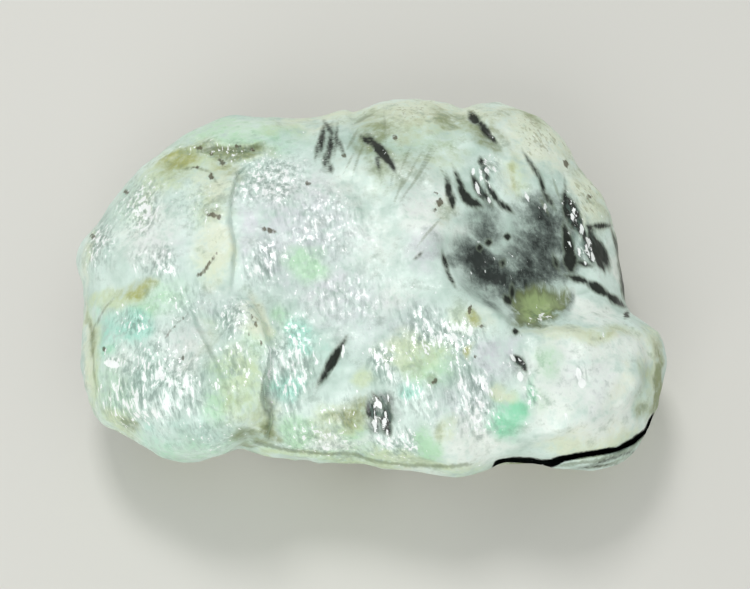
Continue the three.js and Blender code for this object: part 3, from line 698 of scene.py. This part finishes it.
# The patches and marks are kept on the mesh, and the jade's material reads them.
on_mesh = {}
for name, (size, share, seed) in HIDDEN_PATCHES.items():
    lumps = cloud(point, size, seed)
    level = np.quantile(lumps, 1 - share) if share else NEVER
    hidden = smooth(level + HIDDEN_EDGE[0], level + HIDDEN_EDGE[1], lumps)
    on_mesh[name] = blots(PATCHES[name], torn_x, torn_y) * nearness + hidden * (1 - nearness)
for name, depth in {
    "parting": depth_along(PARTING, places),
    "seams_and_painted_shade": depth_along(SEAMS_AND_PAINTED_SHADE, places),
    "shards": depth_inside(SHARDS, *places.T),
    "needles": depth_inside(NEEDLES, *places.T),
    "brown_marks": depth_inside(BROWN_MARKS, *places.T),
    "painted_glints": depth_inside(PAINTED_GLINTS, *places.T),
}.items():
    on_mesh[name] = depth * nearness + FAR_OUTSIDE * (1 - nearness)
for name, values in on_mesh.items():
    stone_mesh.attributes.new(name, "FLOAT", "POINT").data.foreach_set("value", values)

stone = bpy.data.objects.new("jade_boulder", stone_mesh)
bpy.context.scene.collection.objects.link(stone)
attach(stone, "root")
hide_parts("boulder")

# Jadeite, water-worn and wet: a translucent, sugary stone whose crystals glitter under the water
# film, with a dry, dull skin along its rims. Its colour also holds painted highlights and painted
# shade.
jade = bpy.data.materials.new("wet_water_worn_jadeite")
jade.use_nodes = True


def plug(node, inputs):
    """Sets a node's inputs, each to a value or to another node's output."""
    for socket, value in inputs.items():
        if isinstance(value, bpy.types.NodeSocket):
            jade.node_tree.links.new(value, node.inputs[socket])
        else:
            node.inputs[socket].default_value = value


def add(kind, inputs, **settings):
    """Adds a node to the jade, with its settings and links."""
    node = jade.node_tree.nodes.new(kind)
    for name, value in settings.items():
        setattr(node, name, value)
    plug(node, inputs)
    return node


def spoilt(mask, noise, ragged):
    """A patch's mask, broken up by noise where it is there at all. 0 leaves it whole."""
    share = add("ShaderNodeMath", {0: noise, 1: ragged, 2: 1 - ragged / 2}, operation="MULTIPLY_ADD")
    return add("ShaderNodeMath", {0: mask, 1: share.outputs[0]}, operation="MULTIPLY").outputs[0]


def jagged(depth, noise, ragged):
    """A mark's depth, in pixels, with the noise added."""
    shift = add("ShaderNodeMath", {0: noise, 1: ragged, 2: -ragged / 2}, operation="MULTIPLY_ADD")
    return add("ShaderNodeMath", {0: depth, 1: shift.outputs[0]}, operation="ADD").outputs[0]


def lay(colour, mask, start, end, strength, hex_colour):
    """Lays a colour over another as the mask rises from start to end."""
    amount = add("ShaderNodeMapRange", {
        "Value": mask, "From Min": start, "From Max": end, "To Max": strength,
    }, interpolation_type="SMOOTHSTEP")
    return add("ShaderNodeMix", {
        "Factor": amount.outputs["Result"], 6: colour, 7: linear(hex_colour),
    }, data_type="RGBA").outputs[2]


masks = {
    name: add("ShaderNodeAttribute", {}, attribute_name=name).outputs["Fac"] for name in on_mesh
}

# The stone's own axes, in metres, and those of its grain, in mm: across, up with a lean to the
# left, and out of the seen face. The grain is drawn out upwards.
on_stone = add("ShaderNodeTexCoord", {}).outputs["Object"]
seen_face = add("ShaderNodeMapping", {
    "Vector": on_stone, "Rotation": (math.pi / 2 - SIGHT_ELEVATION, 0, 0),
}, vector_type="TEXTURE").outputs["Vector"]
grain = add("ShaderNodeMapping", {
    "Vector": seen_face, "Rotation": (0, 0, GRAIN_LEAN), "Scale": (MM, MM / GRAIN_SLIMNESS, MM),
}, vector_type="TEXTURE").outputs["Vector"]

# Noise: axes, size, detail, roughness and swirl. The clouds and mottling are as large as the real
# ones, and the grain is drawn coarser, so that it shows.
noises = {
    name: add("ShaderNodeTexNoise", {
        "Vector": axes, "Scale": 1 / size, "Detail": detail, "Roughness": rough, "Distortion": swirl,
    }).outputs["Fac"]
    for name, (axes, size, detail, rough, swirl) in {
        "clouds": (on_stone, 8 * MM, 4, 0.6, 0),
        "mottling": (on_stone, 4 * MM, 6, 0.7, 0),
        "milky_grains": (on_stone, 3.2 * MM, 5, 0.65, 0.4),
        "torn": (on_stone, 2 * MM, 3, 0.6, 0),
        "wisps": (grain, 1.8, 5, 0.7, 0.6),
        "strokes": (grain, 0.9, 3, 0.6, 0.3),
        "ragged": (grain, 0.7, 2, 0.5, 0),
        "grain_bumps": (grain, 0.5, 3, 0.5, 0),
    }.items()
}

# Ground mass from greyish to milky white.
ground = add("ShaderNodeValToRGB", {"Fac": noises["clouds"]})
for stop, place, hex_colour in zip(ground.color_ramp.elements, (0.35, 0.65), ("#b4cbc0", "#dff0e9")):
    stop.position, stop.color = place, linear(hex_colour)
colour = ground.outputs["Color"]

# Stains and patches, torn and laid over the ground in turn: colour and strength.
STAIN_TEAR, STAIN_START, STAIN_FULL = 2.6, 0.05, 1.0
for name, hex_colour, strength in (
    ("milk", "#eff5ee", 0.85), ("lavender", "#d2d3da", 0.8), ("green", "#b0dbb4", 0.85),
    ("mint", "#a2e0ce", 0.85), ("emerald", "#84d4ab", 0.9), ("moss", "#c9d8b0", 0.8),
    ("skin", "#dfe5cf", 0.8), ("iron", "#a2a54b", 0.85), ("olive", "#7b8753", 0.85),
):
    stain = spoilt(masks[name], noises["torn"], STAIN_TEAR)
    colour = lay(colour, stain, STAIN_START, STAIN_FULL, strength, hex_colour)

# A grey-green mottling dulls all of it in places, and milky grains show through it.
colour = lay(colour, noises["mottling"], 0.5, 0.72, 0.6, "#8fa597")
colour = lay(colour, noises["milky_grains"], 0.45, 0.75, 0.36, "#e8f6f0")

# Dark clouds, deepening from grey to black.
smoke = spoilt(spoilt(masks["smoke"], noises["mottling"], 2.8), noises["wisps"], 1.6)
colour = lay(colour, smoke, 0.05, 0.7, 0.85, "#86958d")
colour = lay(colour, smoke, 0.4, 1.1, 0.8, "#3c4642")
colour = lay(colour, smoke, 0.9, 1.7, 0.85, "#161c1a")

# The pocket's crystal lies over them.
pocket = spoilt(masks["pocket"], noises["wisps"], 2.4)
colour = lay(colour, pocket, 0.3, 1.0, 0.95, "#687348")
colour = lay(colour, pocket, 0.7, 2.1, 0.9, "#9db279")

# Inclusions and marks: colour, strength, the depths at which they start and are full, and how
# ragged their edges are (pixels). The shards have a paler rim. The seams are dark layer lines, and
# in two places painted shade.
for name, hex_colour, strength, start, full, ragged in (
    ("seams_and_painted_shade", "#66724e", 0.6, -1.4, 1.4, 4.0), ("brown_marks", "#4c4227", 0.85, -0.4, 1.8, 8.0),
    ("needles", "#6c7857", 0.55, -1.4, 1.2, 1.5), ("shards", "#66735f", 0.6, -3.0, 0.8, 3.0),
    # the parting's near-black, at the end of the next line, is painted shade inside the open crack
    ("shards", "#121710", 0.97, -0.8, 2.4, 4.5), ("parting", "#040505", 1.0, -0.9, 0.4, 1.5),
):
    mark = jagged(masks[name], noises["ragged"], ragged)
    colour = lay(colour, mark, start, full, strength, hex_colour)

# The skin is speckled with dirt.
specks = add("ShaderNodeMath", {0: masks["skin"], 1: noises["ragged"]}, operation="MULTIPLY")
colour = lay(colour, specks.outputs[0], 0.5, 0.62, 0.55, "#9a9c7c")

# Painted shade in the gaps between the sharpest crystals: their sides that face away from the light,
# darkened in the colour.
painted_gap_shade = add("ShaderNodeMapRange", {
    "Value": noises["strokes"], "From Min": 0.51, "From Max": 0.37, "To Max": 0.7,
})
gap_shade_share = add("ShaderNodeMath", {0: masks["sugar"], 1: 0.95, 2: 0.03}, operation="MULTIPLY_ADD")
painted_gap_shade = add("ShaderNodeMath", {
    0: painted_gap_shade.outputs["Result"], 1: gap_shade_share.outputs[0],
}, operation="MULTIPLY")
colour = add("ShaderNodeMix", {
    "Factor": painted_gap_shade.outputs[0], 6: colour, 7: linear("#5f7a70"),
}, data_type="RGBA").outputs[2]

# Painted highlights: white glints on the crystal faces between them, and the painted glint marks.
faces = add("ShaderNodeMath", {
    0: masks["sugar"], 1: 0.2, 2: noises["strokes"],
}, operation="MULTIPLY_ADD").outputs[0]
colour = lay(colour, faces, 0.7, 0.75, 0.95, "#fbfffe")
colour = lay(colour, jagged(masks["painted_glints"], noises["ragged"], 5.0), -0.4, 0.8, 0.95, "#fbfffe")

# Each crystal has its own tilt, a random vector around zero, greatest in the sharpest places.
cells = add("ShaderNodeTexVoronoi", {"Vector": grain, "Scale": 1 / CELL_WIDTH}, feature="F1")
tilt = add("ShaderNodeVectorMath", {
    0: cells.outputs["Color"], 1: (-0.5, -0.5, -0.5),
}, operation="ADD").outputs["Vector"]
steepness = add("ShaderNodeMapRange", {"Value": masks["sugar"], "To Min": 0.08, "To Max": 0.6})
tilt = add("ShaderNodeVectorMath", {
    0: tilt, "Scale": steepness.outputs["Result"],
}, operation="SCALE").outputs["Vector"]
bumps = add("ShaderNodeBump", {
    "Height": noises["grain_bumps"], "Distance": 0.08 * MM, "Strength": 0.25,
}).outputs["Normal"]
glitter = add("ShaderNodeVectorMath", {0: bumps, 1: tilt}, operation="ADD").outputs["Vector"]
glitter = add("ShaderNodeVectorMath", {0: glitter}, operation="NORMALIZE").outputs["Vector"]

# The sharpest crystals hold the most water, and the open parting, painted near-black as shade, is
# dry and dark. Dark inclusions are less glossy than the jade, and the skin is dull.
shut = add("ShaderNodeMapRange", {
    "Value": masks["parting"], "From Min": -0.5, "From Max": 0.8, "To Min": 1.0, "To Max": 0.0,
}).outputs["Result"]
wetness = add("ShaderNodeMapRange", {
    "Value": masks["sugar"], "From Min": 0.35, "To Min": 0.05, "To Max": 1.0,
}).outputs["Result"]
wetness = add("ShaderNodeMath", {0: wetness, 1: shut}, operation="MULTIPLY").outputs[0]
lightness = add("ShaderNodeRGBToBW", {"Color": colour}).outputs["Val"]
shine = add("ShaderNodeMapRange", {
    "Value": lightness, "From Min": 0.0, "From Max": 0.3, "To Min": 0.15, "To Max": 0.5,
}).outputs["Result"]
shine = add("ShaderNodeMath", {0: shine, 1: shut}, operation="MULTIPLY").outputs[0]
dullness = add("ShaderNodeMapRange", {
    "Value": masks["skin"], "From Min": 0.3, "From Max": 0.9, "To Min": 0.45, "To Max": 0.62,
}).outputs["Result"]

# Jadeite's IOR is 1.66. The coat is the film of water: its IOR is raised from 1.33, so that the
# glitter shows as strongly as it does on the real stone. Light reaches about 1 mm into the jade.
plug(jade.node_tree.nodes["Principled BSDF"], {
    "Base Color": colour,
    "Roughness": dullness,
    "IOR": 1.66,
    "Specular IOR Level": shine,
    "Normal": glitter,
    "Coat Weight": wetness,
    "Coat Roughness": 0.05,
    "Coat IOR": 1.6,
    "Coat Normal": glitter,
    "Subsurface Weight": 0.25,
    "Subsurface Radius": (1.0, 1.1, 1.0),
    "Subsurface Scale": 0.9 * MM,
})
stone_mesh.materials.append(jade)

# The camera looks along the photograph's line of sight.
eye = (np.array([0, 0, CENTRE_HEIGHT]) - middle + NEARER * SIGHT_DISTANCE) * MM
camera_data = bpy.data.cameras.new("camera")
camera = bpy.data.objects.new("camera", camera_data)
bpy.context.scene.collection.objects.link(camera)
camera.location = eye
camera.rotation_euler = (math.pi / 2 - SIGHT_ELEVATION, 0, 0)
camera_data.sensor_width = SENSOR_WIDTH
camera_data.lens = SENSOR_WIDTH * SIGHT_DISTANCE / (PICTURE_WIDTH * PIXEL)
camera_data.clip_start = 0.01
bpy.context.scene.camera = camera

# A plain pale floor of matt paper, uncoated, so it gives no sheen.
floor_mesh = bpy.data.meshes.new("floor")
floor_corners = [
    (x * FLOOR_REACH, y * FLOOR_REACH, 0) for x, y in ((-1, -1), (1, -1), (1, 1), (-1, 1))
]
floor_mesh.from_pydata(floor_corners, [], [(0, 1, 2, 3)])
floor = bpy.data.objects.new("floor", floor_mesh)
bpy.context.scene.collection.objects.link(floor)
paper = bpy.data.materials.new("matt_paper")
paper.use_nodes = True
paper.node_tree.nodes["Principled BSDF"].inputs["Base Color"].default_value = linear("#d6d4cf")
paper.node_tree.nodes["Principled BSDF"].inputs["Roughness"].default_value = 0.8
floor_mesh.materials.append(paper)

# Soft light from behind and above, and a weak fill: place and size (m), and power (W).
aim = Vector((0, 0, 0.02))  # the middle of the stone
for name, place, size, power in (
    ("softbox_behind", (-0.12, 0.36, 0.74), (0.22, 0.22), 2.3),
    ("fill", (-0.2, -0.72, 0.42), (0.6, 0.6), 3.2),
):
    light_data = bpy.data.lights.new(name, "AREA")
    light_data.shape = "RECTANGLE"
    light_data.size, light_data.size_y = size
    light_data.energy = power
    light = bpy.data.objects.new(name, light_data)
    bpy.context.scene.collection.objects.link(light)
    light.location = place
    light.rotation_euler = (aim - Vector(place)).to_track_quat("-Z", "Y").to_euler()

world = bpy.data.worlds.new("studio")
bpy.context.scene.world = world
world.use_nodes = True
world.node_tree.nodes["Background"].inputs["Color"].default_value = linear("#f0f4f1")
world.node_tree.nodes["Background"].inputs["Strength"].default_value = 0.63
bpy.context.scene.view_settings.view_transform = "Standard"
